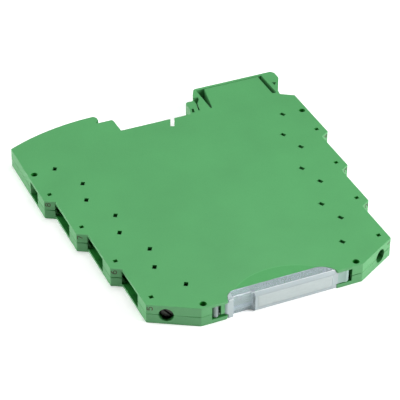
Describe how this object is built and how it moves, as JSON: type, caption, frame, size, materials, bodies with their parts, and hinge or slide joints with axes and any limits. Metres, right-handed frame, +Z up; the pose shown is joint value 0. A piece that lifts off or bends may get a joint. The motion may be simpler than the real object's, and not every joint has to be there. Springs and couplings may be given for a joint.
{
  "type": "signal conditioner",
  "caption": "Slim rail-mounted signal conditioner lying on its side: stepped green half shells, clear hinged front cover, screw clamps up both stepped sides, sprung rail foot.",
  "frame": {"origin": "centre of the bounding box on its lower face, which is the side the module lies on", "axes": "+Y from the front cover towards the rail foot, +X across the rail towards the sprung foot's side, +Z up through the 6.2 mm thickness"},
  "size_m": [0.093, 0.1024, 0.0062],
  "materials": {
    "housing_green": "fine moulded texture, satin",
    "cover_clear": "slightly frosted clear",
    "label_white": "matt",
    "board_green": "lacquered laminate",
    "ferrite_dark": "matt ferrite",
    "winding_copper": "enamelled copper",
    "package_black": "moulded matt",
    "capacitor_yellow": "moulded matt",
    "ceramic_tan": "fired ceramic",
    "led_clear": "clear cast resin",
    "contact_gold": "gold flash",
    "screw_steel": "zinc plated",
    "cage_steel": "nickel plated",
    "bar_tinned": "tin plated"
  },
  "bodies": {
    "housing": {"upper_shell": "housing_green", "lower_shell": "housing_green", "circuit_board": "board_green", "transformer_core": "ferrite_dark", "transformer_winding": "winding_copper", "power_inductor": "ferrite_dark", "amplifier_ics": "package_black", "optocouplers": "package_black", "tantalum_capacitors": "capacitor_yellow", "ceramic_capacitors": "ceramic_tan", "chip_resistors": "package_black", "switching_transistors": "package_black", "status_led": "led_clear", "bus_contacts": "contact_gold", "contact_bar_1": "bar_tinned", "contact_bar_2": "bar_tinned", "contact_bar_3": "bar_tinned", "contact_bar_4": "bar_tinned", "contact_bar_5": "bar_tinned", "contact_bar_6": "bar_tinned", "contact_bar_7": "bar_tinned", "contact_bar_8": "bar_tinned"},
    "cover": {"front_cover": "cover_clear", "marking_label": "label_white"},
    "screw_1": {"clamp_screw_1": "screw_steel"},
    "cage_1": {"clamp_cage_1": "cage_steel"},
    "screw_2": {"clamp_screw_2": "screw_steel"},
    "cage_2": {"clamp_cage_2": "cage_steel"},
    "screw_3": {"clamp_screw_3": "screw_steel"},
    "cage_3": {"clamp_cage_3": "cage_steel"},
    "screw_4": {"clamp_screw_4": "screw_steel"},
    "cage_4": {"clamp_cage_4": "cage_steel"},
    "screw_5": {"clamp_screw_5": "screw_steel"},
    "cage_5": {"clamp_cage_5": "cage_steel"},
    "screw_6": {"clamp_screw_6": "screw_steel"},
    "cage_6": {"clamp_cage_6": "cage_steel"},
    "screw_7": {"clamp_screw_7": "screw_steel"},
    "cage_7": {"clamp_cage_7": "cage_steel"},
    "screw_8": {"clamp_screw_8": "screw_steel"},
    "cage_8": {"clamp_cage_8": "cage_steel"}
  },
  "joints": [
    {"name": "cover_hinge", "type": "hinge", "parent": "housing", "child": "cover", "pos_m": [0.0195, -0.0499, 0.0031], "axis": [0, 0, 1], "range_deg": [0, 105]},
    {"name": "clamp_screw_turn_1", "type": "hinge", "parent": "housing", "child": "screw_1", "pos_m": [0.02798, -0.03798, 0.0031], "axis": [-0.5, 0.866, 0], "range_deg": [0, 1440]},
    {"name": "clamp_cage_lift_1", "type": "slide", "parent": "housing", "child": "cage_1", "axis": [0.5, -0.866, 0], "range_m": [0, 0.002]},
    {"name": "clamp_screw_turn_2", "type": "hinge", "parent": "housing", "child": "screw_2", "pos_m": [0.03095, -0.01935, 0.0031], "axis": [-0.5, 0.866, 0], "range_deg": [0, 1440]},
    {"name": "clamp_cage_lift_2", "type": "slide", "parent": "housing", "child": "cage_2", "axis": [0.5, -0.866, 0], "range_m": [0, 0.002]},
    {"name": "clamp_screw_turn_3", "type": "hinge", "parent": "housing", "child": "screw_3", "pos_m": [0.03392, -0.00072, 0.0031], "axis": [-0.5, 0.866, 0], "range_deg": [0, 1440]},
    {"name": "clamp_cage_lift_3", "type": "slide", "parent": "housing", "child": "cage_3", "axis": [0.5, -0.866, 0], "range_m": [0, 0.002]},
    {"name": "clamp_screw_turn_4", "type": "hinge", "parent": "housing", "child": "screw_4", "pos_m": [0.03689, 0.01791, 0.0031], "axis": [-0.5, 0.866, 0], "range_deg": [0, 1440]},
    {"name": "clamp_cage_lift_4", "type": "slide", "parent": "housing", "child": "cage_4", "axis": [0.5, -0.866, 0], "range_m": [0, 0.002]},
    {"name": "clamp_screw_turn_5", "type": "hinge", "parent": "housing", "child": "screw_5", "pos_m": [-0.02798, -0.03798, 0.0031], "axis": [0.5, 0.866, 0], "range_deg": [0, 1440]},
    {"name": "clamp_cage_lift_5", "type": "slide", "parent": "housing", "child": "cage_5", "axis": [-0.5, -0.866, 0], "range_m": [0, 0.002]},
    {"name": "clamp_screw_turn_6", "type": "hinge", "parent": "housing", "child": "screw_6", "pos_m": [-0.03095, -0.01935, 0.0031], "axis": [0.5, 0.866, 0], "range_deg": [0, 1440]},
    {"name": "clamp_cage_lift_6", "type": "slide", "parent": "housing", "child": "cage_6", "axis": [-0.5, -0.866, 0], "range_m": [0, 0.002]},
    {"name": "clamp_screw_turn_7", "type": "hinge", "parent": "housing", "child": "screw_7", "pos_m": [-0.03392, -0.00072, 0.0031], "axis": [0.5, 0.866, 0], "range_deg": [0, 1440]},
    {"name": "clamp_cage_lift_7", "type": "slide", "parent": "housing", "child": "cage_7", "axis": [-0.5, -0.866, 0], "range_m": [0, 0.002]},
    {"name": "clamp_screw_turn_8", "type": "hinge", "parent": "housing", "child": "screw_8", "pos_m": [-0.03689, 0.01791, 0.0031], "axis": [0.5, 0.866, 0], "range_deg": [0, 1440]},
    {"name": "clamp_cage_lift_8", "type": "slide", "parent": "housing", "child": "cage_8", "axis": [-0.5, -0.866, 0], "range_m": [0, 0.002]}
  ],
  "couplings": [
    {"joint": "clamp_screw_turn_1", "follows": "clamp_cage_lift_1", "rad_per_m": 12566},
    {"joint": "clamp_screw_turn_2", "follows": "clamp_cage_lift_2", "rad_per_m": 12566},
    {"joint": "clamp_screw_turn_3", "follows": "clamp_cage_lift_3", "rad_per_m": 12566},
    {"joint": "clamp_screw_turn_4", "follows": "clamp_cage_lift_4", "rad_per_m": 12566},
    {"joint": "clamp_screw_turn_5", "follows": "clamp_cage_lift_5", "rad_per_m": 12566},
    {"joint": "clamp_screw_turn_6", "follows": "clamp_cage_lift_6", "rad_per_m": 12566},
    {"joint": "clamp_screw_turn_7", "follows": "clamp_cage_lift_7", "rad_per_m": 12566},
    {"joint": "clamp_screw_turn_8", "follows": "clamp_cage_lift_8", "rad_per_m": 12566}
  ]
}
